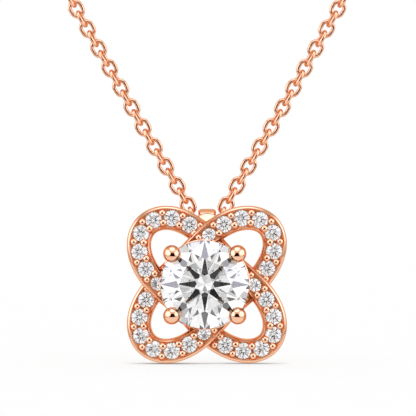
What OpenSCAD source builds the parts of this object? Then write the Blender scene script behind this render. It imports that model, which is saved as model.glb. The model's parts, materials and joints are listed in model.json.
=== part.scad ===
// Petal cross pendant on a fine chain: two interlaced ovals of polished rose gold, set with
// small round stones, round a large stone that four ball-tipped prongs hold.
// X runs to the wearer's left, Y from the front to the back, Z up. The origin is at the nape,
// on the inner face of the clasp, where the chain hangs.

/* [Ovals] */
// Length of an oval along its centre line
oval_len = 12.44; // [12.3:0.02:12.6]
// Width of an oval across its centre line, before its sides are drawn in
oval_wide = 5.1; // [5.06:0.02:5.2]
// Straightness of the ovals' sides, where 2 is an ellipse
side_power = 3.5; // [3.2:0.1:3.6]
// Fullness of the ovals' ends, where 2 is an ellipse
end_power = 1.92; // [1.9:0.01:2.05]
// How far each side of an oval is drawn in at its middle
waist = 0.18; // [0.1:0.01:0.2]
// Sideways lean of the ovals' middles
middle_x = -0.12; // [-0.14:0.01:0]
// Height of the pendant as a share of its width
height_share = 0.98; // [0.97:0.005:1]
// Width of the band of metal
band_w = 1.76; // [1.7:0.02:1.84]
// Depth of the band from front to back
band_t = 0.95; // [0.9:0.05:1.2]
// How far the band rises over a crossing and dips under one
weave = 0.24; // [0.15:0.01:0.3]
// Width of each raised rim
rim_w = 0.27; // [0.25:0.01:0.3]
// Width and drop of the rims' slope towards the band's sides
rim_slope = 0.2; // [0.14:0.01:0.22]
// Depth of the channel between the rims
channel_t = 0.14; // [0.08:0.01:0.2]

/* [Small stones] */
// Diameter of a small stone
small_d = 1.19; // [1.1:0.01:1.2]
// Distance between two stones along the band
small_pitch = 1.35; // [1.34:0.005:1.36]
// Distance along the band from a petal's tip to its first stone, at the crossing
small_first = 4.72; // [4.66:0.01:4.76]
// How much further the row of the upper left petal starts
row_shift = 0.12; // [0:0.01:0.14]
// How far the row of stones stands outwards from the middle of the band
row_side = 0.01; // [0:0.01:0.04]
// How much deeper the first stone of each row sits, to clear the large stone
crossing_sink = 0.14; // [0.13:0.01:0.16]
// Diameter of the beads on the outer side of the row
bead_d = 0.44; // [0.36:0.02:0.48]
// Diameter of the beads on the inner side of the row
inner_bead_d = 0.54; // [0.4:0.02:0.56]
// Distance of a bead from the middle of the row
bead_side = 0.355; // [0.32:0.005:0.37]

/* [Large stone] */
// Diameter of the large stone
large_d = 6.4; // [6.3:0.05:6.5]
// Distance of its girdle in front of the middle of the band
girdle_y = 0.8; // [0.75:0.05:1]
// Sideways place of the large stone from the middle of the ovals
large_x = -0.17; // [-0.2:0.01:-0.1]
// Diameter of the ball on each prong
ball_d = 1.3; // [1.1:0.05:1.35]
// Diameter of a prong
prong_d = 0.85; // [0.7:0.05:0.95]
// Angle of the prongs above the horizontal
prong_angle = 43.3; // [42.5:0.1:45]
// Width of the fine collar round the girdle
collar_w = 0.06; // [0.05:0.01:0.08]

/* [Basket behind the large stone] */
// Diameter of the base ring at its wire's middle
base_d = 3.5; // [3.3:0.1:3.7]
// Distance of the base ring behind the middle of the band
base_y = 1.75; // [1.6:0.05:1.9]
// Diameter of the rail at its wire's middle
rail_d = 4.7; // [4.5:0.1:4.8]
// Distance of the rail behind the middle of the band
rail_y = 0.95; // [0.9:0.05:1]
// Thickness of the base ring
base_wire = 0.75; // [0.65:0.05:0.8]
// Thickness of the rail
rail_wire = 0.6; // [0.5:0.05:0.65]

/* [Bail] */
// Width of the bail along the chain
bail_w = 1.32; // [1.1:0.02:1.4]
// Diameter of the hole in the bail
bail_hole = 1.9; // [1.8:0.05:2]
// How much the hole opens out on each side at its two mouths
bail_flare = 0.13; // [0.1:0.01:0.15]
// Thickness of the bail
bail_wall = 0.34; // [0.32:0.01:0.36]
// Width of the bevel along each edge of the bail, and how far it drops
bail_bevel = 0.15; // [0.1:0.01:0.15]
// Height of the bail's hole above the middle of the pendant
bail_z = 4.2; // [4.1:0.05:4.3]
// Distance of the bail's hole behind the middle of the band
bail_y = 1.25; // [1.15:0.05:1.3]

/* [Chain and clasp] */
// Diameter of the space that the chain's links fill
chain_d = 0.8; // [0.7:0.05:0.8]
// Outer diameter of the ring of the clasp
clasp_d = 5.8; // [5.4:0.1:5.8]
// Thickness of the ring of the clasp
clasp_wire = 1.1; // [1:0.05:1.2]
// Diameter of the two eyes of the clasp at their wire's middle
eye_d = 1.5; // [1.4:0.05:1.5]
// Thickness of the wire of the eyes
eye_wire = 0.4; // [0.35:0.05:0.4]

/* [Hidden] */
gold = [0.93, 0.66, 0.53];
clear_stone = [0.93, 0.95, 0.97];
// Middle of the bail's hole, which the pendant swings about, seen from the nape
hang = [0, -85, -122];
// Middle of the pendant
middle = hang - [0, bail_y, bail_z];
// Half of the length of an oval along which its sides are drawn in
waist_reach = 3.7;
petals = 4;
per_petal = 7;
stones = petals * per_petal;
// Clearance of a stone in its seat
seat_gap = 0.02;
// How far the small stones' tables stand in front of the rims
table_proud = 0.03;
// Samples along an oval, and sections of its band
samples = 360;
sections = 58;
// Bevel of the band's back edges
back_bevel = 0.16;
// How much shallower oval 1 is, and how far its sections are moved, which keeps the two apart
back_step = 0.05;
section_shift = 0.55;
// How far the channel's middle lies below its sides
trough = 0.06;

// Route of the chain from the middle of the bail outwards, measured from the bail's hole
route_low = [
    [0, 0, -0.2], [0.4, 0, -0.13], [0.74, 0, 0.2], [1.08, 0, 0.9], [1.56, 0, 1.86],
    [3.2, 0, 4.7], [5, 0, 7.8], [9.5, 0, 15.8]
];
// The rest of the route round the neck to the clasp, measured from the nape
route_high = [
    [15.2, -85, -96], [20.8, -85, -85.9], [26.4, -84.8, -75.8], [31.9, -84, -66],
    [37.2, -82.4, -56.5], [42.2, -79.9, -47.4], [46.8, -76.3, -38.9], [50.8, -71.6, -31],
    [54, -65.7, -24], [56.2, -58.9, -18.1], [57.4, -51.3, -13.3], [57.5, -43.3, -9.5],
    [56.3, -35.4, -6.6], [53.8, -27.8, -4.4], [50.1, -20.8, -2.8], [45.2, -14.6, -1.7],
    [39.3, -9.4, -0.9], [32.6, -5.4, -0.4], [25.4, -2.6, -0.1], [18, -0.8, 0],
    [11, 0.2, 0], [4.7, 0.55, 0]
];

function stone_name(i) = str("accent_stone_", i < 10 ? "0" : "", i);

// Ovals, as points [x, z] seen from the front; oval 0 leans right, oval 1 leans left
function drawn_in(u) = abs(u) < waist_reach ? waist * pow(cos(90 * u / waist_reach), 2) : 0;
function oval_point(t, oval) =
    let (u = oval_len / 2 * sign(cos(t)) * pow(abs(cos(t)), 2 / side_power),
         v = sign(sin(t)) * (oval_wide / 2 * pow(abs(sin(t)), 2 / end_power) - drawn_in(u)),
         lean = oval == 0 ? 45 : -45,
         shift = middle_x * (1 - (u * u + v * v) / pow(oval_len / 2, 2)))
    [u * cos(lean) - v * sin(lean) + shift, (u * sin(lean) + v * cos(lean)) * height_share];
function oval_points(oval) = [for (i = [0:samples]) oval_point(i * 360 / samples, oval)];
function run_lengths(p) =
    [for (i = 0, s = 0; i < len(p); s = s + (i + 1 < len(p) ? norm(p[i + 1] - p[i]) : 0), i = i + 1) s];
points = [oval_points(0), oval_points(1)];
lengths = [run_lengths(points[0]), run_lengths(points[1])];
tables = [for (o = [0, 1]) [for (c = [0, 1]) [for (i = [0:samples]) [lengths[o][i], points[o][i][c]]]]];
oval_run = lengths[0][samples];

// Place, direction and outward side of the band at a distance s from the tip of its upper petal
function wrap(s) = s - oval_run * floor(s / oval_run);
function band_at(s, oval) = [lookup(wrap(s), tables[oval][0]), lookup(wrap(s), tables[oval][1])];
function band_ahead(s, oval) =
    let (d = band_at(s + 0.1, oval) - band_at(s - 0.1, oval)) d / norm(d);
function band_out(s, oval) = let (d = band_ahead(s, oval)) [d[1], -d[0]];
// Front of the rims, which rises where the band passes over a crossing and dips under the next
function rim_y(s) = -band_t / 2 - weave * sin(720 * s / oval_run);
function on_band(s, oval, side, y) =
    let (p = band_at(s, oval) + side * band_out(s, oval)) [p[0], y, p[1]];

// Cross-section of the band as points [side, y], with the front of its rims at y = front
function band_section(front, back) =
    let (half = band_w / 2, floor_y = front + channel_t)
    [
        [-half, front + rim_slope],
        [-half + rim_slope, front],
        [-half + rim_w, floor_y],
        [0, floor_y + trough],
        [half - rim_w, floor_y],
        [half - rim_slope, front],
        [half, front + rim_slope],
        [half, back - back_bevel],
        [half - back_bevel, back],
        [-half + back_bevel, back],
        [-half, back - back_bevel]
    ];

// Skin over n rings of m points each, capped at its ends or closed on itself
function skin_faces(n, m, closed) = concat(
    [for (i = [0:n - (closed ? 1 : 2)], j = [0:m - 1])
        let (a = i * m + j, b = i * m + (j + 1) % m, next = ((i + 1) % n) * m)
        each [[a, next + (j + 1) % m, b], [a, next + j, next + (j + 1) % m]]],
    closed ? [] : [[for (j = [0:m - 1]) j], [for (j = [m - 1:-1:0]) (n - 1) * m + j]]
);

module band(oval) {
    back = band_t / 2 - oval * back_step;
    rings = [for (i = [0:sections - 1])
        let (s = (i + oval * section_shift) * oval_run / sections)
        [for (q = band_section(rim_y(s), back)) on_band(s, oval, q[0], q[1])]];
    polyhedron([for (r = rings, p = r) p], skin_faces(sections, len(rings[0]), true));
}

// Proportions of a round brilliant as shares of its diameter
table_share = 0.57;
crown_share = 0.155;
pavilion_share = 0.434;
girdle_share = 0.02;
// Where the kites end on the crown and on the pavilion, as shares of its radius and its depth
crown_kite = [0.8, 0.56];
pavilion_kite = [0.24, 0.74];

// A round brilliant seen from the front, its girdle in the plane y = 0 and its table towards -Y
function ring(r, y, n, turn) =
    [for (i = [0:n - 1]) [r * cos(turn + i * 360 / n), y, r * sin(turn + i * 360 / n)]];
module brilliant(d, with_kites) {
    r = d / 2;
    crown = d * crown_share;
    pavilion = d * pavilion_share;
    edge = d * girdle_share / 2;
    corners = concat(
        ring(r * table_share, -crown, 8, 0),
        with_kites ? ring(r * crown_kite[0], -crown * crown_kite[1], 8, 22.5) : [],
        ring(r, -edge, 16, 0),
        with_kites ? ring(r, edge, 16, 0) : [],
        with_kites ? ring(r * pavilion_kite[0], pavilion * pavilion_kite[1], 8, 22.5) : [],
        [[0, pavilion, 0]]
    );
    hull() polyhedron(corners, [for (i = [0:len(corners) - 3]) [i, i + 1, i + 2]]);
}

// Seats, cut into the metal round the stones
module large_seat() {
    scale(1 + 2 * seat_gap / large_d) brilliant(large_d, true);
}
module small_seat() {
    r = (small_d / 2 + seat_gap) / cos(22.5);
    // Radius and y of its mouth, its girdle and its foot
    steps = [
        [r * 0.66, -small_d * crown_share - 0.1],
        [r, 0],
        [0.06, small_d * pavilion_share + seat_gap]
    ];
    hull() for (step = steps)
        translate([0, step[1], 0]) rotate([90, 22.5, 0]) cylinder(h = 0.01, r = step[0], $fn = 8);
}

// Small stones are counted from the crossing along each petal, petal by petal round the pendant
function stone_oval(i) = floor((i - 1) / per_petal) % 2;
function stone_run(i) =
    let (petal = floor((i - 1) / per_petal), k = (i - 1) % per_petal)
    small_first + (petal == 1 ? row_shift : 0) - k * small_pitch + (petal < 2 ? 0 : oval_run / 2);
module at_stone(i) {
    s = stone_run(i);
    proud = table_proud - (i % per_petal == 1 ? crossing_sink : 0);
    slope = atan2(rim_y(s + 0.3) - rim_y(s - 0.3), 0.6);
    along = band_ahead(s, stone_oval(i));
    translate(on_band(s, stone_oval(i), row_side, rim_y(s) - proud + small_d * crown_share))
        rotate([0, -atan2(along[1], along[0]), 0]) rotate([0, 0, slope]) children();
}

// Shared beads, in pairs before, between and after the stones of each petal
module beads() {
    foot = channel_t + trough + 0.1;
    for (petal = [0:petals - 1], k = [0:per_petal], side = [-1, 1]) {
        s = stone_run(petal * per_petal + 1) + (0.5 - k) * small_pitch;
        d = side > 0 ? bead_d : inner_bead_d;
        translate(on_band(s, petal % 2, row_side + side * bead_side, rim_y(s))) rotate([90, 0, 0]) hull() {
            translate([0, 0, -foot]) cylinder(h = foot, d = d, $fn = 8);
            cylinder(h = d * 0.35, d = d * 0.5, $fn = 8);
        }
    }
}

// A short round stub along Y, its back face at [x, y], which the prongs are drawn between
module stub(x, y, h, d) {
    translate([x, y, 0]) rotate([90, 0, 0]) cylinder(h = h, d = d, $fn = 10);
}
// Cross-section of the collar, which the seat cuts back to the stone's edge
module collar_section() {
    outer = seat_gap + collar_w;
    polygon([[-0.15, -0.07], [outer, -0.035], [outer, 0.005], [-0.15, 0.11]]);
}
// Four prongs with ball tips, and the basket behind the ovals that they stand in
module head() {
    reach = large_d / 2 + 0.06;
    knee = [reach - 0.25, 0.1];
    ball_y = -girdle_y - 0.22;
    for (a = [prong_angle, 180 - prong_angle, 180 + prong_angle, -prong_angle]) rotate([0, -a, 0]) {
        translate([reach, ball_y, 0]) sphere(d = ball_d, $fn = 14);
        hull() {
            stub(reach, -girdle_y, 0.2, prong_d);
            stub(knee[0], knee[1], 0.1, prong_d);
        }
        hull() {
            stub(knee[0], knee[1], 0.1, prong_d);
            stub(base_d / 2, base_y, 0.1, prong_d * 0.8);
        }
    }
    rotate([90, 0, 0]) {
        translate([0, 0, -base_y])
            rotate_extrude($fn = 24) translate([base_d / 2, 0]) circle(d = base_wire, $fn = 8);
        translate([0, 0, -rail_y])
            rotate_extrude($fn = 24) translate([rail_d / 2, 0]) circle(d = rail_wire, $fn = 6);
        translate([0, 0, girdle_y])
            rotate_extrude($fn = 32) translate([large_d / 2, 0]) collar_section();
    }
}

// Broad loop behind the upper crossing, open along X for the chain, its edges bevelled outside and in
module bail() {
    half = bail_w / 2;
    inner = bail_hole / 2;
    outer = inner + bail_wall;
    mouth = bail_w / 6;
    right = [
        [inner, half - mouth], [inner + bail_flare, half],
        [outer - bail_bevel, half], [outer, half - bail_bevel]
    ];
    left = [for (i = [len(right) - 1:-1:0]) [right[i][0], -right[i][1]]];
    translate([0, bail_y, bail_z]) rotate([0, 90, 0]) rotate_extrude($fn = 40) polygon(concat(right, left));
}

module setting() {
    color(gold) translate(middle) difference() {
        union() {
            band(0);
            band(1);
            beads();
            bail();
            translate([large_x, 0, 0]) head();
        }
        translate([large_x, -girdle_y, 0]) large_seat();
        for (i = [1:stones]) at_stone(i) small_seat();
    }
}

module center_stone() {
    color(clear_stone) translate(middle + [large_x, -girdle_y, 0]) brilliant(large_d, true);
}

module accent_stone(i) {
    color(clear_stone) translate(middle) at_stone(i) brilliant(small_d, false);
}

// Tube along a route, with a ring of sides square to it at each point
module tube(route, d, sides) {
    n = len(route);
    function heading(i) =
        let (ahead = route[min(i + 1, n - 1)] - route[i], behind = route[i] - route[max(i - 1, 0)],
             a = i < n - 1 ? ahead / norm(ahead) : behind / norm(behind),
             b = i > 0 ? behind / norm(behind) : a)
        (a + b) / norm(a + b);
    // Across the route, square to a direction that the route never runs along
    rings = [for (i = [0:n - 1])
        let (ahead = heading(i), flat = cross(ahead, [0, -0.4, 0.9]), out = flat / norm(flat),
             up = cross(out, ahead))
        [for (j = [0:sides - 1])
            let (turn = j * 360 / sides) route[i] + d / 2 * (out * cos(turn) - up * sin(turn))]];
    polyhedron([for (r = rings, p = r) p], skin_faces(n, sides, false));
}
route_right = concat([for (p = route_low) hang + p], route_high);
function mirrored(p) = [-p[0], p[1], p[2]];
route_left = [for (i = [len(route_right) - 1:-1:1]) mirrored(route_right[i])];

module chain() {
    color(gold) tube(concat(route_left, route_right), chain_d, 8);
}

// Ring that closes the chain at the nape, with an eye at each side
module clasp() {
    ring_d = clasp_d - clasp_wire;
    eye_x = (clasp_d + eye_d) / 2 - 0.05;
    color(gold) translate([0, clasp_wire / 2, 0]) rotate([90, 0, 0]) {
        rotate_extrude($fn = 48) translate([ring_d / 2, 0]) circle(d = clasp_wire, $fn = 24);
        for (x = [-eye_x, eye_x]) translate([x, 0, 0])
            rotate_extrude($fn = 32) translate([eye_d / 2, 0]) circle(d = eye_wire, $fn = 16);
    }
}

setting();
center_stone();
for (i = [1:stones])
    accent_stone(i);
chain();
clasp();
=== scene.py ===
import json
import math
import bpy
import bmesh
import numpy as np
from mathutils import Matrix, Vector


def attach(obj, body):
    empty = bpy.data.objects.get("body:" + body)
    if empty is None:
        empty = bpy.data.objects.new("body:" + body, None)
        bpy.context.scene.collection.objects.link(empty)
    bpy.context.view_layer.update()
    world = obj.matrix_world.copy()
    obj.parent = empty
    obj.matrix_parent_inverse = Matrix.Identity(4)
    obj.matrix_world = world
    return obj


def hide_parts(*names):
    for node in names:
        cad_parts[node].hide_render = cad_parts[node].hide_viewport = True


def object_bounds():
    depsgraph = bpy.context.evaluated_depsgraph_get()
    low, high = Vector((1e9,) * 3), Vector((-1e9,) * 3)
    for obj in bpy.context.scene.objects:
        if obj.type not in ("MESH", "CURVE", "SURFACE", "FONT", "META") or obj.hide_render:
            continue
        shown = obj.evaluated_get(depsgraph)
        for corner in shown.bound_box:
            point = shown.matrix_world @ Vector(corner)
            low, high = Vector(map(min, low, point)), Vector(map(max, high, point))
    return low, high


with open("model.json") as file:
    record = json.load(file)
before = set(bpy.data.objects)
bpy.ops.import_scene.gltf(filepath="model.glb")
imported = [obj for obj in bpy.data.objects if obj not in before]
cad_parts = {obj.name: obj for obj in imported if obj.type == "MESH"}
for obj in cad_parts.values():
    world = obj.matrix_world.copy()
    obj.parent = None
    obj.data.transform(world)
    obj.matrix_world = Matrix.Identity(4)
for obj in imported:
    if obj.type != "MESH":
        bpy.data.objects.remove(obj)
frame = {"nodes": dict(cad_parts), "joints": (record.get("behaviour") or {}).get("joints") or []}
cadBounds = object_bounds()
print("frame loaded")

# All sizes below are in millimetres, seen from the front: X right, Y away from the viewer, Z up
mm = 0.001
swing = frame["joints"][0]
hangPoint = np.array(swing["pos_m"]) / mm  # middle of the bail's hole
bail = {
    "width": 1.32, "hole": 1.9, "wall": 0.34, "up": 4.2, "back": 1.25, "taper": 0.11, "steps": 180,
    "bevel": 0.15, "crown": 0.02, "crownSteps": 5, "edgeRound": 0.04, "flare": 0.13, "flareRun": 0.22,
    "flareRound": 0.1, "facetTop": 47.1, "facetFoot": 19.0, "line": 0.035, "lineSteps": 25, "lineSides": 10,
}
middle = hangPoint - np.array([0, bail["back"], bail["up"]])  # middle of the pendant

# Camera, level with the pendant and straight in front of it
photoView = {"distance": 210.0, "right": 0.065, "up": 5.554, "frameWidth": 30.24, "sensor": 36.0}


def addCamera():
    data = bpy.data.cameras.new("photoCamera")
    data.sensor_width = photoView["sensor"]
    data.lens = photoView["sensor"] * photoView["distance"] / photoView["frameWidth"]
    data.clip_start = 0.001
    data.clip_end = 20.0
    camera = bpy.data.objects.new("photoCamera", data)
    camera.location = (middle + [photoView["right"], -photoView["distance"], photoView["up"]]) * mm
    camera.rotation_euler = (math.pi / 2, 0, 0)
    bpy.context.scene.collection.objects.link(camera)
    bpy.context.scene.camera = camera


addCamera()
print("camera placed")


# Small helpers for meshes
def unit(v):
    v = np.asarray(v, float)
    return v / np.linalg.norm(v, axis=-1, keepdims=True)


def gridFaces(rows, cols, closedRows=False, closedCols=True):
    faces = []
    for i in range(rows if closedRows else rows - 1):
        for j in range(cols if closedCols else cols - 1):
            a, b = i * cols + j, i * cols + (j + 1) % cols
            c, d = ((i + 1) % rows) * cols + (j + 1) % cols, ((i + 1) % rows) * cols + j
            faces.append((a, b, c, d))
    return faces


def newPiece(name, points, faces, materials=(), second=None):
    # points in millimetres, straight in the shared frame; second marks the faces of the second material
    mesh = bpy.data.meshes.new(name)
    mesh.from_pydata([tuple(p * mm) for p in np.asarray(points, float)], [], faces)
    for material in materials:
        mesh.materials.append(material)
    if second is not None:
        mesh.polygons.foreach_set("material_index", np.asarray(second, np.int32))
    facesOutward(mesh)
    piece = bpy.data.objects.new(name, mesh)
    bpy.context.scene.collection.objects.link(piece)
    return piece


def facesOutward(mesh):
    bm = bmesh.new()
    bm.from_mesh(mesh)
    bmesh.ops.recalc_face_normals(bm, faces=bm.faces)
    bm.to_mesh(mesh)
    bm.free()


def together(parts):  # several (points, faces) as one
    points, faces, count = [], [], 0
    for p, f in parts:
        points.append(np.asarray(p, float))
        faces += [tuple(k + count for k in face) for face in f]
        count += len(p)
    return np.concatenate(points), faces


def spun(profile, steps, place):  # a profile of (radius, along) turned round an axis, closed at its ends
    turn = np.arange(steps) * 2 * math.pi / steps
    rings = [place(r * np.cos(turn), r * np.sin(turn), np.full(steps, a)) for r, a in profile]
    faces = gridFaces(len(profile), steps)
    faces.append(tuple(range(steps))[::-1])
    faces.append(tuple((len(profile) - 1) * steps + k for k in range(steps)))
    return np.concatenate(rings), faces


def combine(piece, tool, operation):
    step = piece.modifiers.new("step", "BOOLEAN")
    step.operation = operation
    step.object = tool
    step.solver = "MANIFOLD"
    depsgraph = bpy.context.evaluated_depsgraph_get()
    mesh = bpy.data.meshes.new_from_object(piece.evaluated_get(depsgraph))
    piece.modifiers.clear()
    old = piece.data
    piece.data = mesh
    bpy.data.meshes.remove(old)
    bpy.data.objects.remove(tool)


def smoothUpTo(piece, degrees):
    piece.data.shade_smooth()
    piece.data.set_sharp_from_angle(angle=math.radians(degrees))


# Materials
def newMaterial(name):
    material = bpy.data.materials.new(name)
    material.use_nodes = True
    tree = material.node_tree
    return material, tree, tree.nodes["Principled BSDF"]


def put(tree, kind, inputs=None, **settings):
    made = tree.nodes.new(kind)
    for key, value in settings.items():
        setattr(made, key, value)
    for key, value in (inputs or {}).items():
        if isinstance(value, bpy.types.NodeSocket):
            tree.links.new(value, made.inputs[key])
        else:
            made.inputs[key].default_value = value
    return made


grain = {  # how fine the metals' colour, wear and hair lines are
    "tint": 900.0, "wear": 2600.0, "hair": (9000.0, 9000.0, 1200.0), "hairTurn": (0.5, 0.3, 0.2),
    "relief": 0.00002,
}
# Each gold's glow is painted light: the metal shines a little of its own, though it is no lamp
goldFinish = {
    "pale": (0.88, 0.54, 0.36, 1), "deep": (0.85, 0.5, 0.33, 1), "edge": (0.87, 0.53, 0.35, 1),
    "rough": (0.01, 0.035), "scratch": 0.008, "glow": (0.01, 0.0035, 0.0015, 1),
    "paintedShadeInStone": (0.32, 0.29, 0.28, 1),
}
# The chain: a darker copy of the same gold, painted shade, with a glow that is painted light
chainPaintedShadeFinish = {
    "pale": (0.83, 0.48, 0.31, 1), "deep": (0.76, 0.41, 0.26, 1), "edge": (0.81, 0.45, 0.29, 1),
    "rough": (0.1, 0.16), "scratch": 0.9, "glow": (0.055, 0.026, 0.014, 1),
    "paintedShadeInStone": (0.32, 0.29, 0.28, 1),
}
# The channel and the seats: a deeper orange and a glow, painted bounce light and shade in these hollows;
# their higher roughness is their own
channelPaintedBounceFinish = {
    "pale": (0.86, 0.42, 0.2, 1), "deep": (0.78, 0.35, 0.16, 1), "edge": (0.88, 0.48, 0.28, 1),
    "rough": (0.3, 0.45), "scratch": 0.1, "glow": (0.13, 0.034, 0.01, 1),
    "paintedShadeInStone": (0.7, 0.5, 0.38, 1),
}
# The bail's groove: a near-black colour, painted shade in the crease
paintedShadeLineFinish = {
    "pale": (0.2, 0.1, 0.06, 1), "deep": (0.12, 0.06, 0.04, 1), "edge": (0.2, 0.1, 0.06, 1),
    "rough": (0.5, 0.6), "scratch": 0.1, "glow": (0.0, 0.0, 0.0, 1),
    "paintedShadeInStone": (0.32, 0.29, 0.28, 1),
}


def roseGold(name, finish):
    material, tree, shader = newMaterial(name)
    shader.inputs["Metallic"].default_value = 1.0
    shader.inputs["Specular Tint"].default_value = finish["edge"]
    # painted light: the metal glows in the finish's glow colour
    shader.inputs["Emission Color"].default_value = finish["glow"]
    shader.inputs["Emission Strength"].default_value = 1.0
    place = put(tree, "ShaderNodeTexCoord").outputs["Object"]
    clouds = put(tree, "ShaderNodeTexNoise", {"Vector": place, "Scale": grain["tint"], "Detail": 3.0})
    tint = put(tree, "ShaderNodeMix", {0: clouds.outputs["Fac"], 6: finish["pale"], 7: finish["deep"]},
               data_type="RGBA")
    path = put(tree, "ShaderNodeLightPath").outputs
    # Painted shade: seen through a stone, the metal takes a duller grey colour
    seen = put(tree, "ShaderNodeMix",
               {0: path["Transmission Depth"], 6: tint.outputs[2], 7: finish["paintedShadeInStone"]},
               data_type="RGBA")  # painted shade: duller where it shows through a stone
    tree.links.new(seen.outputs[2], shader.inputs["Base Color"])
    wear = put(tree, "ShaderNodeTexNoise", {"Vector": place, "Scale": grain["wear"], "Detail": 4.0})
    rough = put(tree, "ShaderNodeMapRange", {"Value": wear.outputs["Fac"], "From Min": 0.3, "From Max": 0.7,
                                             "To Min": finish["rough"][0], "To Max": finish["rough"][1]})
    tree.links.new(rough.outputs["Result"], shader.inputs["Roughness"])
    hair = put(tree, "ShaderNodeMapping",
               {"Vector": place, "Scale": grain["hair"], "Rotation": grain["hairTurn"]})
    hairLines = put(tree, "ShaderNodeTexNoise",
                    {"Vector": hair.outputs["Vector"], "Scale": 1.0, "Detail": 2.0})
    bump = put(tree, "ShaderNodeBump", {"Height": hairLines.outputs["Fac"], "Strength": finish["scratch"],
                                        "Distance": grain["relief"]})
    tree.links.new(bump.outputs["Normal"], shader.inputs["Normal"])
    return material


stoneFinish = {
    "clear": (1.0, 1.0, 1.0, 1), "veil": (0.97, 0.975, 0.98, 1), "veilScale": 700.0, "ior": 2.42,
    "glow": 0.0, "glowColour": (0.95, 0.97, 1.0, 1),
}
# the sunk crossing stones get a glow, painted light
crossingFinish = dict(stoneFinish, glow=0.05)


def clearStone(name, finish):
    material, tree, shader = newMaterial(name)
    shader.inputs["Transmission Weight"].default_value = 1.0
    shader.inputs["IOR"].default_value = finish["ior"]
    shader.inputs["Roughness"].default_value = 0.0
    # painted light: a glow for stones that gather too little light
    shader.inputs["Emission Color"].default_value = finish["glowColour"]
    shader.inputs["Emission Strength"].default_value = finish["glow"]
    place = put(tree, "ShaderNodeTexCoord").outputs["Object"]
    clouds = put(tree, "ShaderNodeTexNoise", {"Vector": place, "Scale": finish["veilScale"], "Detail": 2.0})
    tint = put(tree, "ShaderNodeMix", {0: clouds.outputs["Fac"], 6: finish["clear"], 7: finish["veil"]},
               data_type="RGBA")
    tree.links.new(tint.outputs[2], shader.inputs["Base Color"])
    return material


gold = roseGold("roseGold", goldFinish)
chainPaintedShadeGold = roseGold("chainPaintedShadeGold", chainPaintedShadeFinish)
channelPaintedBounceGold = roseGold("channelPaintedBounceGold", channelPaintedBounceFinish)
paintedShadeLine = roseGold("paintedShadeLine", paintedShadeLineFinish)
clear = clearStone("clearStone", stoneFinish)
crossingClear = clearStone("crossingStone", crossingFinish)  # the sunk stones gather less light, so they get a painted glow
print("materials made")


# The two ovals: points along their middle lines
ovals = {
    "length": 12.44, "width": 5.1, "sidePower": 3.5, "endPower": 1.92, "waist": 0.18, "waistReach": 3.7,
    "middleX": -0.12, "heightShare": 0.98, "samples": 7200,
}


def ovalLine(oval):
    t = np.linspace(0, 2 * math.pi, ovals["samples"] + 1)
    half = ovals["length"] / 2
    u = half * np.sign(np.cos(t)) * np.abs(np.cos(t)) ** (2 / ovals["sidePower"])
    bulge = ovals["width"] / 2 * np.abs(np.sin(t)) ** (2 / ovals["endPower"])
    near = np.abs(u) < ovals["waistReach"]
    drawnIn = np.where(near, ovals["waist"] * np.cos(math.pi / 2 * u / ovals["waistReach"]) ** 2, 0)
    v = np.sign(np.sin(t)) * (bulge - drawnIn)
    lean = math.radians(45 if oval == 0 else -45)
    shift = ovals["middleX"] * (1 - (u * u + v * v) / half ** 2)
    x = u * math.cos(lean) - v * math.sin(lean) + shift
    z = (u * math.sin(lean) + v * math.cos(lean)) * ovals["heightShare"]
    run = np.concatenate([[0], np.cumsum(np.hypot(np.diff(x), np.diff(z)))])
    return {"x": x, "z": z, "run": run, "length": run[-1]}


lines = [ovalLine(0), ovalLine(1)]


def along(s, oval):
    line = lines[oval]
    s = np.mod(s, line["length"])
    return np.stack([np.interp(s, line["run"], line["x"]), np.interp(s, line["run"], line["z"])], -1)


def ahead(s, oval, step=0.1):
    return unit(along(s + step, oval) - along(s - step, oval))


# The bands of metal that follow them
band = {
    "width": 1.76, "depth": 0.95, "weave": 0.24, "slope": 0.2, "drop": 0.24, "lip": 0.07, "channel": 0.14,
    "trough": 0.2, "shoulderRound": 0.3, "crestRound": 0.045, "footRound": 0.03, "backRound": 0.165,
    "wallTop": 0.4, "wallFoot": 0.5, "dullFrom": 0.015, "sections": 480, "cornerSteps": 5,
}


def rimFront(s, oval=0):
    return -band["depth"] / 2 - band["weave"] * np.sin(4 * math.pi * s / lines[oval]["length"])


def onBand(s, oval, side, y):
    p = along(s, oval)
    d = ahead(s, oval)
    return np.stack([p[..., 0] + side * d[..., 1], y + 0 * p[..., 0], p[..., 1] - side * d[..., 0]], -1)


def rounded(corners, steps):  # a line through the corners (side, y, radius), each rounded by its radius
    line = []
    for k, (side, y, r) in enumerate(corners):
        corner = np.array([side, y])
        if r == 0:
            line.append((side, y))
            continue
        before, after = (unit(np.array(corners[k + step][:2]) - corner) for step in (-1, 1))
        half = math.acos(np.dot(before, after)) / 2
        center = corner + unit(before + after) * r / math.sin(half)
        start, end = (corner + way * r / math.tan(half) - center for way in (before, after))
        sweep = math.pi - 2 * half
        for share in np.linspace(0, 1, steps):
            spoke = start * math.sin((1 - share) * sweep) + end * math.sin(share * sweep)
            line.append(tuple(center + spoke / math.sin(sweep)))
    return line


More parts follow.
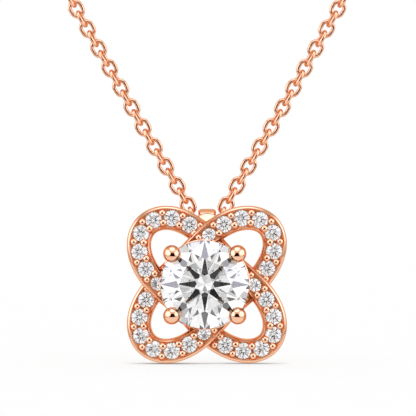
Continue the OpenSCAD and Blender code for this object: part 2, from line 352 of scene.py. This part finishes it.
def bandProfile():  # rows of (side, y, share of the front's rise that the point follows, in the channel)
    half, back, r = band["width"] / 2, band["depth"] / 2, band["backRound"]
    wall = back - band["wallFoot"]
    crest = half - band["slope"]
    rise = [
        (half, band["drop"] + band["wallTop"], 0), (half, band["drop"], band["shoulderRound"]),
        (crest, 0, band["crestRound"]), (crest - band["lip"], band["channel"], band["footRound"]),
    ]
    fall = [(-side, y, k) for side, y, k in rise[::-1]]
    front = rounded(rise + [(0, band["trough"], 0)] + fall, band["cornerSteps"])
    rear = [(-half, wall, 0), (-half, back, r), (0, back, 0), (half, back, r), (half, wall, 0)]
    rear = rounded(rear, band["cornerSteps"])[1:-1]
    rows = [(side, y, 1, abs(side) < crest - band["dullFrom"]) for side, y in front[1:-1]]
    return rows + [(side, y, 0, False) for side, y in rear]


def bandShell(oval):
    rows = bandProfile()
    s = np.arange(band["sections"]) * lines[oval]["length"] / band["sections"]
    front = rimFront(s, oval)
    columns = [onBand(s, oval, side, y + follows * front) for side, y, follows, _ in rows]
    points = np.stack(columns, 1).reshape(-1, 3)
    # the channel's faces take the second material, with its painted bounce light and shade
    sunk = [rows[j][3] and rows[(j + 1) % len(rows)][3] for j in range(len(rows))]
    return points, gridFaces(band["sections"], len(rows), closedRows=True), sunk * band["sections"]


# Round brilliants, cut plane by plane; the table faces -Y and the girdle lies at y = 0
cut = {
    "table": 0.59, "crown": 0.155, "pavilion": 0.435, "girdle": 0.02, "starReach": 0.8, "halfReach": 0.24,
    "sides": 64,
}


def facetPlane(a, b, c):
    normal = unit(np.cross(np.subtract(b, a), np.subtract(c, a)))
    if np.dot(normal, a) < 0:
        normal = -normal
    return a, normal


def polar(r, degrees, y):
    return np.array([r * math.cos(math.radians(degrees)), y, r * math.sin(math.radians(degrees))])


def brilliantPlanes(d):
    r, top, deep, edge = d / 2, -d * cut["crown"], d * cut["pavilion"], d * cut["girdle"] / 2
    tableR, starR, halfR = r * cut["table"], r * cut["starReach"], r * cut["halfReach"]
    lean = math.cos(math.radians(22.5))
    starY = -edge + (top + edge) * (r - starR * lean) / (r - tableR)
    halfY = deep + (edge - deep) * halfR * lean / r
    planes = []
    for k in range(8):
        a = 45 * k
        tip, culet = polar(r, a, -edge), np.array([0, deep, 0])
        star, below = polar(starR, a + 22.5, starY), polar(halfR, a + 22.5, halfY)
        planes.append(facetPlane(tip, star, polar(starR, a - 22.5, starY)))
        planes.append(facetPlane(star, polar(tableR, a, top), polar(tableR, a + 45, top)))
        planes.append(facetPlane(polar(r, a, edge), below, culet))
        for first, second in ((a, a + 22.5), (a + 22.5, a + 45)):
            planes.append(facetPlane(star, polar(r, first, -edge), polar(r, second, -edge)))
            planes.append(facetPlane(below, polar(r, first, edge), polar(r, second, edge)))
    return planes


def brilliant(d):
    bm = bmesh.new()
    points, faces = spun([(d / 2, -d * cut["crown"]), (d / 2, d * cut["pavilion"])], cut["sides"],
                         lambda x, z, y: np.stack([x, y, z], -1))
    made = [bm.verts.new(p) for p in points]
    for face in faces:
        bm.faces.new([made[k] for k in face])
    for point, normal in brilliantPlanes(d):
        everything = bm.verts[:] + bm.edges[:] + bm.faces[:]
        result = bmesh.ops.bisect_plane(bm, geom=everything, dist=1e-5, plane_co=Vector(point),
                                        plane_no=Vector(normal), clear_outer=True)
        rim = [g for g in result["geom_cut"] if isinstance(g, bmesh.types.BMEdge) and g.is_boundary]
        if rim:
            bmesh.ops.edgeloop_fill(bm, edges=rim)
    bmesh.ops.remove_doubles(bm, verts=bm.verts[:], dist=1e-4)
    bmesh.ops.recalc_face_normals(bm, faces=bm.faces[:])
    bm.verts.index_update()
    shape = np.array([v.co for v in bm.verts]), [tuple(v.index for v in f.verts) for f in bm.faces]
    bm.free()
    return shape


# Small stones, seven to a petal, in the channel of the band
smallStones = {
    "diameter": 1.19, "pitch": 1.35, "first": (4.72, 4.84, 4.72, 4.72), "side": 0.01, "perPetal": 7,
    "petals": 4, "proud": 0.03, "crossingSink": 0.14, "gap": 0.02, "turn": 37, "slopeRun": 0.3,
    "seatFoot": 0.06, "seatMouth": 0.6, "seatSteps": 32,
}


def rowPlace(petal, k):  # the oval, and how far along it the k-th stone of a petal stands
    oval = petal % 2
    start = 0 if petal < 2 else lines[oval]["length"] / 2
    return oval, start + smallStones["first"][petal] - k * smallStones["pitch"]


def smallStonePlace(i):  # middle of its girdle and its own axes, as columns
    oval, s = rowPlace(*divmod(i, smallStones["perPetal"]))
    run = smallStones["slopeRun"]
    slope = math.atan2(rimFront(s + run) - rimFront(s - run), 2 * run)
    d = ahead(s, oval)
    sink = smallStones["crossingSink"] if i % smallStones["perPetal"] == 0 else 0
    y = rimFront(s) - smallStones["proud"] + sink + smallStones["diameter"] * cut["crown"]
    place = onBand(s, oval, smallStones["side"], y)
    run = np.array([d[0] * math.cos(slope), math.sin(slope), d[1] * math.cos(slope)])
    back = np.array([-d[0] * math.sin(slope), math.cos(slope), -d[1] * math.sin(slope)])
    return place, np.stack([run, back, np.cross(run, back)], 1)


def seatCutter(i):  # a round funnel for one small stone
    place, axes = smallStonePlace(i)
    d, gap, foot = smallStones["diameter"], smallStones["gap"], smallStones["seatFoot"]
    r = d / 2 + gap
    mouth = r * smallStones["seatMouth"], -d * cut["crown"] - gap
    profile = [(foot, d * cut["pavilion"] + gap), (r, gap), (r, -gap), mouth]
    points, faces = spun(profile, smallStones["seatSteps"], lambda x, z, y: np.stack([x, y, z], -1))
    return points @ axes.T + place + middle, faces


# Beads that hold the small stones, the larger ones on the inner side of the row
beads = {
    "outer": 0.5, "inner": 0.57, "side": 0.36, "sunk": 0.05, "flat": 0.95, "rings": 12, "steps": 20,
}


def beadShells():
    shells = []
    for petal in range(smallStones["petals"]):
        for k in range(-1, smallStones["perPetal"]):
            for side, size in ((1, beads["outer"]), (-1, beads["inner"])):
                oval, s = rowPlace(petal, k + 0.5)
                aside = smallStones["side"] + side * beads["side"]
                place = onBand(s, oval, aside, rimFront(s) + beads["sunk"])
                points, faces = ballShell(np.zeros(3), size / 2, beads["rings"], beads["steps"])
                shells.append((points * [1, beads["flat"], 1] + place + middle, faces))
    return together(shells)


# Four prongs with ball tips, and the basket they stand in
head = {
    "x": -0.17, "stone": 6.4, "girdle": -0.8, "ball": 1.26, "tip": 1.4, "lean": 35, "prong": 0.85,
    "angle": 43.3, "reach": 3.26, "ballBack": -0.22, "baseD": 3.5, "baseY": 1.75, "baseWire": 0.75,
    "railD": 4.7, "railY": 0.95, "railWire": 0.6,
    "shank": ((0, -0.9), (0, -0.35), (-0.1, -0.08), (-0.25, 0.1)),  # from the prong's reach, and y
    "leg": (0.15, 0.5, 1), "thinning": (1, 1, 1, 1, 0.97, 0.88, 0.8),
    "collar": {"inner": 3.22, "width": 0.06, "rise": 0.06, "back": 0.03}, "smoothUpTo": 38,
}


def ballShell(center, r, rings=24, steps=48, pole=0.03):  # closed by a tiny flat at each pole
    profile = [(r * math.sin(a), -r * math.cos(a)) for a in np.linspace(pole, math.pi - pole, rings)]
    return spun(profile, steps, lambda x, z, y: np.stack([x, y, z], -1) + center)


def tipShell(degrees):  # the ball of a prong, a little longer than wide and bent over the large stone
    points, faces = ballShell(np.zeros(3), head["ball"] / 2)
    lean = math.radians(head["lean"])
    longest = polar(-math.sin(lean), degrees, -math.cos(lean))
    points = points + np.outer(points @ longest, longest) * (head["tip"] / head["ball"] - 1)
    place = polar(head["reach"], degrees, head["girdle"] + head["ballBack"]) + [head["x"], 0, 0] + middle
    return points + place, faces


def tubeShell(path, radii, steps=24):
    path = np.asarray(path, float)
    headings = unit(np.gradient(path, axis=0))
    turn = np.arange(steps) * 2 * math.pi / steps
    rings = []
    for p, heading, r in zip(path, headings, radii):
        a = unit(np.cross(heading, [0.3, 0.1, 1.0]))  # a way that no tube here runs
        b = np.cross(heading, a)
        rings.append(p + r * (np.cos(turn)[:, None] * a + np.sin(turn)[:, None] * b))
    faces = gridFaces(len(path), steps)
    faces.append(tuple(range(steps))[::-1])
    faces.append(tuple((len(path) - 1) * steps + k for k in range(steps)))
    return np.concatenate(rings), faces


def ringShell(d, wire, y, steps=96, around=20):
    turn = np.arange(steps) * 2 * math.pi / steps
    a = np.arange(around) * 2 * math.pi / around
    r = d / 2 + wire / 2 * np.cos(a)[None, :]
    x, z = r * np.cos(turn)[:, None], r * np.sin(turn)[:, None]
    back = y + wire / 2 * np.sin(a)[None, :] + 0 * x
    points = np.stack([x, back, z], -1).reshape(-1, 3)
    return points, gridFaces(steps, around, closedRows=True)


def collarShell(steps=160):  # the fine edge of metal round the large stone
    collar = head["collar"]
    r = collar["inner"] + collar["width"] * np.array([0, 1, 1, 0])
    y = head["girdle"] + np.array([collar["back"], collar["back"], 0, -collar["rise"]])
    turn = (np.arange(steps) * 2 * math.pi / steps)[:, None]
    points = np.stack([r * np.cos(turn), y + 0 * turn, r * np.sin(turn)], -1).reshape(-1, 3)
    return points, gridFaces(steps, 4, closedRows=True)


def prongAngles():
    a = head["angle"]
    return [a, 180 - a, 180 + a, -a]


def prongShells():
    shells = []
    bend = [(head["reach"] + out, y) for out, y in head["shank"]]
    knee, foot = bend[-1], (head["baseD"] / 2, head["baseY"])
    bend += [(knee[0] + (foot[0] - knee[0]) * f, knee[1] + (foot[1] - knee[1]) * f) for f in head["leg"]]
    radii = [head["prong"] / 2 * share for share in head["thinning"]]
    for degrees in prongAngles():
        path = [polar(r, degrees, y) + [head["x"], 0, 0] + middle for r, y in bend]
        shells.append(tubeShell(path, radii))
    return together(shells)


def bailShell():
    half, hole, bevel = bail["width"] / 2, bail["hole"] / 2, bail["bevel"]
    outer, flare, flat = hole + bail["wall"], bail["flare"], half - bevel
    edge = bail["edgeRound"]
    across = np.linspace(0, flat, bail["crownSteps"] + 1)[:-1]
    profile = [(outer - bail["crown"] * (x / flat) ** 2, x, 0) for x in across]
    profile += [(outer - bail["crown"], flat, edge), (outer - bevel, half, edge)]
    profile += [(hole + flare, half, edge), (hole, half - bail["flareRun"], bail["flareRound"])]
    profile.append((hole, 0, 0))
    profile = rounded(profile, 5)
    loop = profile + [(r, -x) for r, x in profile[-2:0:-1]]
    turn = np.arange(bail["steps"]) * 2 * math.pi / bail["steps"]
    r = np.array([p[0] for p in loop])[None, :]
    y, z = r * np.cos(turn)[:, None], r * np.sin(turn)[:, None]
    x = np.array([p[1] for p in loop])[None, :] * (1 - bail["taper"] * (1 - z / outer))
    points = np.stack([x, y, z], -1).reshape(-1, 3)
    return points + hangPoint, gridFaces(bail["steps"], len(loop), closedRows=True)


def bailFacet():  # what is cut off for its flat front, and the dark line along the top of that, a groove coloured near black as painted shade
    outer, flat = bail["hole"] / 2 + bail["wall"], bail["width"] / 2 - bail["bevel"]
    tilt = math.radians((bail["facetTop"] + bail["facetFoot"]) / 2)
    depth = outer * math.cos(math.radians(bail["facetTop"] - bail["facetFoot"]) / 2)
    front = np.array([0, -math.cos(tilt), math.sin(tilt)])
    up = np.array([0, math.sin(tilt), math.cos(tilt)])
    corners = [hangPoint + [x, 0, 0] + front * (depth + y) + up * z
               for x in (-1, 1) for y in (0, 1) for z in (-1, 1)]
    box = corners, [(0, 1, 3, 2), (4, 6, 7, 5), (0, 4, 5, 1), (2, 3, 7, 6), (0, 2, 6, 4), (1, 5, 7, 3)]
    path = []
    for x in np.linspace(-flat, flat, bail["lineSteps"]):
        r = outer - bail["crown"] * (x / flat) ** 2
        e = tilt + math.acos(depth / r)
        path.append(hangPoint + [x, -r * math.cos(e), r * math.sin(e)])
    return box, tubeShell(path, [bail["line"]] * len(path), bail["lineSides"])


def moved(shell, by):
    return shell[0] + by, shell[1]


def bandPiece(name, oval, materials):
    points, faces, sunk = bandShell(oval)
    return newPiece(name, points + middle, faces, materials, sunk)


def makeSetting(materials):  # polished metal; duller metal of the channel and the seats, in a deeper orange with a glow as painted bounce light and shade; the bail line's dark colour as painted shade
    setting = bandPiece("pendantSetting", 0, materials)
    combine(setting, bandPiece("secondBand", 1, materials), "UNION")
    headMiddle = middle + [head["x"], 0, 0]
    added = [
        beadShells(), prongShells(), together([tipShell(a) for a in prongAngles()]),
        moved(ringShell(head["baseD"], head["baseWire"], head["baseY"]), headMiddle),
        moved(ringShell(head["railD"], head["railWire"], head["railY"]), headMiddle),
        moved(collarShell(), headMiddle),
    ]
    loop = newPiece("bailLoop", *bailShell(), materials)
    facet, line = bailFacet()
    combine(loop, newPiece("bailFacet", *facet, materials), "DIFFERENCE")
    combine(loop, newPiece("bailLine", *line, materials, [2] * len(line[1])), "DIFFERENCE")
    combine(setting, loop, "UNION")
    for k, shell in enumerate(added):
        combine(setting, newPiece("added%d" % k, *shell, materials), "UNION")
    count = smallStones["petals"] * smallStones["perPetal"]
    points, faces = together([seatCutter(i) for i in range(count)])
    combine(setting, newPiece("seats", points, faces, materials, [1] * len(faces)), "DIFFERENCE")
    points, faces = brilliant(head["stone"] + 2 * smallStones["gap"])
    points = points + headMiddle + [0, head["girdle"], 0]
    combine(setting, newPiece("largeSeat", points, faces, materials), "DIFFERENCE")
    smoothUpTo(setting, head["smoothUpTo"])
    return setting


setting = makeSetting([gold, channelPaintedBounceGold, paintedShadeLine])
print("setting made:", len(setting.data.polygons), "faces")

largeShape = brilliant(head["stone"])
largeStone = newPiece("largeStone", largeShape[0] + middle + [head["x"], head["girdle"], 0], largeShape[1])
smallShape = brilliant(smallStones["diameter"])
stonePieces = []
for i in range(smallStones["petals"] * smallStones["perPetal"]):
    place, axes = smallStonePlace(i)
    spin = np.array(Matrix.Rotation(math.radians(smallStones["turn"] * i), 3, "Y"))
    points = smallShape[0] @ spin.T @ axes.T + place + middle
    stonePieces.append(newPiece("smallStone%02d" % (i + 1), points, smallShape[1]))
print("stones cut:", 1 + len(stonePieces))

# The chain: oval links along the route, every other one turned square to its neighbours
chain = {
    "length": 1.42, "width": 1.17, "wire": 0.29, "pitch": 0.83, "hiddenPitch": 0.79, "hiddenLinks": 3,
    "lean": 13.0, "leanFrom": 1.6, "leanTo": 3.0, "twistFrom": 25.0, "around": 20, "sides": 8,
    "eyeX": 3.6, "eyeD": 1.5, "eyeWire": 0.4, "clearance": 0.02, "routeSteps": 40,
}
routeLow = [
    (0, 0, -0.2), (0.4, 0, -0.13), (0.74, 0, 0.2), (1.08, 0, 0.9), (1.56, 0, 1.86),
    (3.2, 0, 4.7), (5, 0, 7.8), (9.5, 0, 15.8),
]  # from the middle of the bail outwards, measured from its hole
routeHigh = [
    (15.2, -85, -96), (20.8, -85, -85.9), (26.4, -84.8, -75.8), (31.9, -84, -66),
    (37.2, -82.4, -56.5), (42.2, -79.9, -47.4), (46.8, -76.3, -38.9), (50.8, -71.6, -31),
    (54, -65.7, -24), (56.2, -58.9, -18.1), (57.4, -51.3, -13.3), (57.5, -43.3, -9.5),
    (56.3, -35.4, -6.6), (53.8, -27.8, -4.4), (50.1, -20.8, -2.8), (45.2, -14.6, -1.7),
    (39.3, -9.4, -0.9), (32.6, -5.4, -0.4), (25.4, -2.6, -0.1), (18, -0.8, 0),
    (11, 0.2, 0), (4.7, 0.55, 0),
]  # the rest of the way round the neck, measured from the nape


def smoothRoute():  # a curve through the route's points, from the middle to the clasp
    right = [np.array(p) + hangPoint for p in routeLow] + [np.array(p, float) for p in routeHigh]
    firstMirrored = right[1] * [-1, 1, 1]
    beyond = right[-1] + [-1.0, 0, 0]
    p = np.array([firstMirrored] + right + [beyond])
    knots = np.concatenate([[0], np.cumsum(np.sqrt(np.linalg.norm(np.diff(p, axis=0), axis=1)))])
    fine = []
    for k in range(1, len(p) - 2):
        t0, t1, t2, t3 = knots[k - 1:k + 3]
        for t in np.linspace(t1, t2, chain["routeSteps"], endpoint=False):
            a1 = (t1 - t) / (t1 - t0) * p[k - 1] + (t - t0) / (t1 - t0) * p[k]
            a2 = (t2 - t) / (t2 - t1) * p[k] + (t - t1) / (t2 - t1) * p[k + 1]
            a3 = (t3 - t) / (t3 - t2) * p[k + 1] + (t - t2) / (t3 - t2) * p[k + 2]
            b1 = (t2 - t) / (t2 - t0) * a1 + (t - t0) / (t2 - t0) * a2
            b2 = (t3 - t) / (t3 - t1) * a2 + (t - t1) / (t3 - t1) * a3
            fine.append((t2 - t) / (t2 - t1) * b1 + (t - t1) / (t2 - t1) * b2)
    lastLinkX = chain["eyeX"] + chain["eyeD"] / 2 - chain["eyeWire"] / 2 - chain["wire"] / 2 \
        - chain["clearance"] + chain["length"] / 2 - chain["wire"] / 2
    fine.append(right[-1])
    fine.append(np.array([lastLinkX, right[-1][1], right[-1][2]]))
    fine = np.array(fine)
    run = np.concatenate([[0], np.cumsum(np.linalg.norm(np.diff(fine, axis=0), axis=1))])
    return fine, run


def carriedNormals(fine):  # Y at the front, carried along the route without twist
    heading = unit(np.gradient(fine, axis=0))
    normal = np.array([0.0, 1.0, 0.0])
    normals = []
    for h in heading:
        normal = unit(normal - np.dot(normal, h) * h)
        normals.append(normal)
    return heading, np.array(normals)


def linkPlaces():  # (middle, heading, normal of its plane) of each link of the right half
    fine, run = smoothRoute()
    heading, normals = carriedNormals(fine)
    hidden = chain["hiddenLinks"] * chain["hiddenPitch"]
    count = round((run[-1] - hidden) / chain["pitch"])
    if (count + chain["hiddenLinks"]) % 2:  # the last link is to lie as the first one does
        count += 1
    pitch = (run[-1] - hidden) / count
    spots = [k * chain["hiddenPitch"] for k in range(chain["hiddenLinks"])]
    spots += [hidden + k * pitch for k in range(count + 1)]
    h, n = heading[-1], normals[-1]
    flat = unit(np.cross(h, n))  # where a link turned square would look
    wanted = np.array([0, 0, 1.0])
    miss = math.atan2(np.dot(np.cross(flat, wanted), h), np.dot(flat, wanted))
    miss = (miss + math.pi / 2) % math.pi - math.pi / 2
    places = []
    for k, s in enumerate(spots):
        at = np.array([np.interp(s, run, fine[:, c]) for c in range(3)])
        h = unit(np.array([np.interp(s, run, heading[:, c]) for c in range(3)]))
        n = unit(np.array([np.interp(s, run, normals[:, c]) for c in range(3)]))
        share = max(0.0, (s - chain["twistFrom"]) / (run[-1] - chain["twistFrom"]))
        leanShare = np.clip((s - chain["leanFrom"]) / (chain["leanTo"] - chain["leanFrom"]), 0, 1)
        lean = math.radians(chain["lean"]) * leanShare
        turn = miss * share + lean * (1 - share) + (0 if k % 2 else math.pi / 2)
        n = n * math.cos(turn) + np.cross(h, n) * math.sin(turn)
        places.append((at, h, n))
    return places, pitch


def linkShape():  # an oval link in its own axes: along, across, normal
    r = (chain["width"] - chain["wire"]) / 2
    straight = (chain["length"] - chain["wire"]) / 2 - r
    n = chain["around"]
    total = 2 * math.pi * r + 4 * straight
    middles, sides = [], []
    for k in range(n):
        s = (k + 0.5) * total / n
        lap, s = divmod(s, total / 2)
        sign = 1 if lap < 1 else -1
        if s < math.pi * r:
            a = s / r - math.pi / 2
            middles.append((sign * (straight + r * math.cos(a)), sign * r * math.sin(a)))
            sides.append((sign * math.cos(a), sign * math.sin(a)))
        else:
            middles.append((sign * (straight - (s - math.pi * r)), sign * r))
            sides.append((0, sign))
    turn = np.arange(chain["sides"]) * 2 * math.pi / chain["sides"]
    points = []
    for m, o in zip(middles, sides):
        for a in turn:
            w = chain["wire"] / 2
            points.append((m[0] + w * math.cos(a) * o[0], m[1] + w * math.cos(a) * o[1], w * math.sin(a)))
    return np.array(points), gridFaces(n, chain["sides"], closedRows=True)


def makeChain():
    places, pitch = linkPlaces()
    mirror = np.array([-1, 1, 1])
    left = [(at * mirror, h * mirror, n * mirror) for at, h, n in places[:0:-1]]
    shape, faces = linkShape()
    shells = []
    for at, h, n in left + places:
        axes = np.stack([h, np.cross(n, h), n], 1)
        shells.append((shape @ axes.T + at, faces))
    piece = newPiece("chainLinks", *together(shells))
    piece.data.shade_smooth()
    print("chain linked:", len(shells), "links, pitch", round(pitch, 4), "mm")
    return piece


chainPiece = makeChain()


def dress(piece, material):
    piece.data.materials.clear()
    piece.data.materials.append(material)


dress(chainPiece, chainPaintedShadeGold)
dress(largeStone, clear)
for i, piece in enumerate(stonePieces):
    dress(piece, clear if i % smallStones["perPetal"] else crossingClear)
clasp = frame["nodes"]["clasp"]
for holder in clasp.material_slots:
    holder.material = gold

# What each piece stands for, and what it moves with
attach(setting, "pendant")
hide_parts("setting")
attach(largeStone, "pendant")
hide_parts("center_stone")
for i, piece in enumerate(stonePieces):
    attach(piece, "pendant")
    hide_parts("accent_stone_%02d" % (i + 1))
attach(chainPiece, "necklace")
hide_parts("chain")

# The room: a pale floor and a studio of soft windows
# The floor glows evenly; near the pendant ambient occlusion dims that glow, a painted contact shadow
floor = {
    "below": 0.03, "size": 900.0, "pale": (0.26, 0.26, 0.26, 1), "grey": (0.24, 0.24, 0.24, 1),
    "grain": 400.0, "glow": (-0.05, 0.745), "near": 1.4,
}


def addFloor():
    z = cadBounds[0][2] / mm - floor["below"]
    half = floor["size"] / 2
    corners = [(-half, -half, z), (half, -half, z), (half, half, z), (-half, half, z)]
    mesh = bpy.data.meshes.new("floor")
    mesh.from_pydata([(x * mm, (y + middle[1]) * mm, z * mm) for x, y, z in corners], [], [(0, 1, 2, 3)])
    piece = bpy.data.objects.new("floor", mesh)
    bpy.context.scene.collection.objects.link(piece)
    material, tree, shader = newMaterial("paleFloor")
    place = put(tree, "ShaderNodeTexCoord").outputs["Object"]
    grain = put(tree, "ShaderNodeTexNoise", {"Vector": place, "Scale": floor["grain"]})
    tone = put(tree, "ShaderNodeMix", {0: grain.outputs["Fac"], 6: floor["pale"], 7: floor["grey"]},
               data_type="RGBA")
    tree.links.new(tone.outputs[2], shader.inputs["Base Color"])
    shader.inputs["Roughness"].default_value = 1.0
    shader.inputs["Specular IOR Level"].default_value = 0.0
    shader.inputs["Emission Color"].default_value = (1, 1, 1, 1)  # most of its light is its own
    # painted contact shadow: the glow falls where the pendant closes in the floor
    shade = put(tree, "ShaderNodeAmbientOcclusion", {"Distance": floor["near"] * mm}, samples=24)
    dark, light = floor["glow"]
    glow = put(tree, "ShaderNodeMapRange", {"Value": shade.outputs["AO"], "To Min": dark, "To Max": light})
    tree.links.new(glow.outputs["Result"], shader.inputs["Emission Strength"])
    dress(piece, material)
    piece.visible_glossy = False
    piece.visible_transmission = False
    piece.visible_shadow = False


# The light, laid out as it shows in a polished ball: across from -1 to 1 and up from -1 to 1
studio = {
    "room": (0.88, 0.5), "fade": (0.62, 0.78), "warm": (1.0, 0.92, 0.85, 1),
    "windows": 2.2, "cool": (1.0, 0.99, 1.14, 1), "corners": 2.5, "edge": (0.5, 1.08),
    "top": {"across": 0.0, "up": 0.6, "halfWidth": 0.36, "halfHeight": 0.24},
    "left": {"across": -0.54, "up": 0.18, "halfWidth": 0.31, "halfHeight": 0.37},
    "right": {"across": 0.54, "up": 0.18, "halfWidth": 0.31, "halfHeight": 0.37},
    "horizon": -0.22, "table": 1.07, "line": {"level": 0.5, "half": 0.018},
    "gap": {"up": 0.2, "foot": 0.34, "crest": 0.15},
    "behind": {"from": 0.76, "to": 0.86, "level": 0.95, "colour": (0.95, 0.8, 0.62, 1)},
    # brightness that the stones gather by the degrees from the camera, which is their dark spot
    "stones": {
        "spot": (0, -0.99965, 0.0264),
        "levels": ((0, 0.05), (10, 0.06), (12.5, 0.85), (20, 0.92), (30, 0.95), (45, 1.15), (60, 1.1),
                   (85, 0.8), (95, 0.3), (180, 0.25)),
        "low": 0.45, "high": 1.5, "patches": 2.9, "contrast": (0.35, 0.65),
    },
}


def addStudio():
    world = bpy.data.worlds.new("studio")
    bpy.context.scene.world = world
    world.use_nodes = True
    world.cycles.sampling_method = "NONE"
    tree = world.node_tree
    tree.nodes.clear()
    way = put(tree, "ShaderNodeTexCoord").outputs["Generated"]

    def calc(operation, a, b=0.0):
        return put(tree, "ShaderNodeMath", {0: a, 1: b}, operation=operation).outputs[0]

    def spread(value, low, high, start, end, kind="SMOOTHSTEP"):
        ends = {"Value": value, "From Min": low, "From Max": high, "To Min": start, "To Max": end}
        return put(tree, "ShaderNodeMapRange", ends, interpolation_type=kind).outputs["Result"]

    def choose(share, a, b):
        return put(tree, "ShaderNodeMix", {0: share, 2: a, 3: b}).outputs[0]

    def tinted(share, a, b):
        return put(tree, "ShaderNodeMix", {0: share, 6: a, 7: b}, data_type="RGBA").outputs[2]

    # where on a ball this way of looking is mirrored
    half = put(tree, "ShaderNodeVectorMath", {0: way, 1: (0, 1, 0)}, operation="SUBTRACT").outputs[0]
    normal = put(tree, "ShaderNodeVectorMath", {0: half}, operation="NORMALIZE").outputs[0]
    parts = put(tree, "ShaderNodeSeparateXYZ", {"Vector": normal}).outputs
    across, up = parts[0], parts[2]
    reach = calc("SQRT", calc("ADD", calc("MULTIPLY", across, across), calc("MULTIPLY", up, up)))
    corners = studio["corners"]

    lit = 0.0
    for window in (studio["top"], studio["left"], studio["right"]):
        u = calc("DIVIDE", calc("SUBTRACT", across, window["across"]), window["halfWidth"])
        v = calc("DIVIDE", calc("SUBTRACT", up, window["up"]), window["halfHeight"])
        powers = [calc("POWER", calc("ABSOLUTE", part), corners) for part in (u, v)]
        edge = calc("POWER", calc("ADD", *powers), 1 / corners)
        lit = calc("MAXIMUM", lit, spread(edge, *studio["edge"], 1.0, 0.0))
    above = calc("GREATER_THAN", up, studio["horizon"])
    lit = calc("MULTIPLY", lit, above)
    light = choose(lit, spread(reach, *studio["fade"], *studio["room"]), studio["windows"])
    light = choose(above, studio["table"], light)
    line = studio["line"]
    onLine = calc("LESS_THAN", calc("ABSOLUTE", calc("SUBTRACT", up, studio["horizon"])), line["half"])
    light = choose(onLine, light, line["level"])
    # the dark gap where the camera stands, wider towards the table
    gap = studio["gap"]
    wide = spread(up, studio["horizon"], gap["up"], gap["foot"], gap["crest"], "LINEAR")
    inside = calc("MULTIPLY", calc("LESS_THAN", calc("ABSOLUTE", across), wide),
                  calc("MULTIPLY", above, calc("LESS_THAN", up, gap["up"])))
    light = calc("MULTIPLY", light, calc("SUBTRACT", 1.0, inside))
    behind = studio["behind"]
    colour = tinted(above, (1, 1, 1, 1), tinted(lit, studio["warm"], studio["cool"]))
    rear = spread(reach, behind["from"], behind["to"], 0.0, 1.0)
    light = choose(rear, light, behind["level"])
    colour = tinted(rear, colour, behind["colour"])
    onMetal = put(tree, "ShaderNodeBackground", {"Color": colour, "Strength": light})

    # what the stones gather
    gather = studio["stones"]
    front = put(tree, "ShaderNodeVectorMath", {0: way, 1: gather["spot"]}, operation="DOT_PRODUCT")
    away = calc("ARCCOSINE", front.outputs["Value"])
    levels = put(tree, "ShaderNodeValToRGB", {"Fac": calc("DIVIDE", away, math.pi)})
    stops = levels.color_ramp.elements
    for k, (degrees, level) in enumerate(gather["levels"]):
        stop = stops[k] if k < len(stops) else stops.new(1.0)
        stop.position = degrees / 180
        stop.color = (level, level, level, 1)
    patches = put(tree, "ShaderNodeTexNoise", {"Vector": way, "Scale": gather["patches"], "Detail": 1.0})
    patchy = spread(patches.outputs["Fac"], *gather["contrast"], gather["low"], gather["high"], "LINEAR")
    inStones = put(tree, "ShaderNodeBackground", {"Color": levels.outputs["Color"], "Strength": patchy})

    plain = put(tree, "ShaderNodeBackground", {"Color": (1, 1, 1, 1), "Strength": 1.0})
    path = put(tree, "ShaderNodeLightPath").outputs
    onAll = put(tree, "ShaderNodeMixShader",
                {0: path["Is Glossy Ray"], 1: plain.outputs[0], 2: onMetal.outputs[0]})
    onAll = put(tree, "ShaderNodeMixShader",
                {0: path["Is Transmission Ray"], 1: onAll.outputs[0], 2: inStones.outputs[0]})
    end = put(tree, "ShaderNodeOutputWorld")
    tree.links.new(onAll.outputs[0], end.inputs["Surface"])


addFloor()
addStudio()
bpy.context.scene.view_settings.view_transform = "Standard"
print("studio lit")
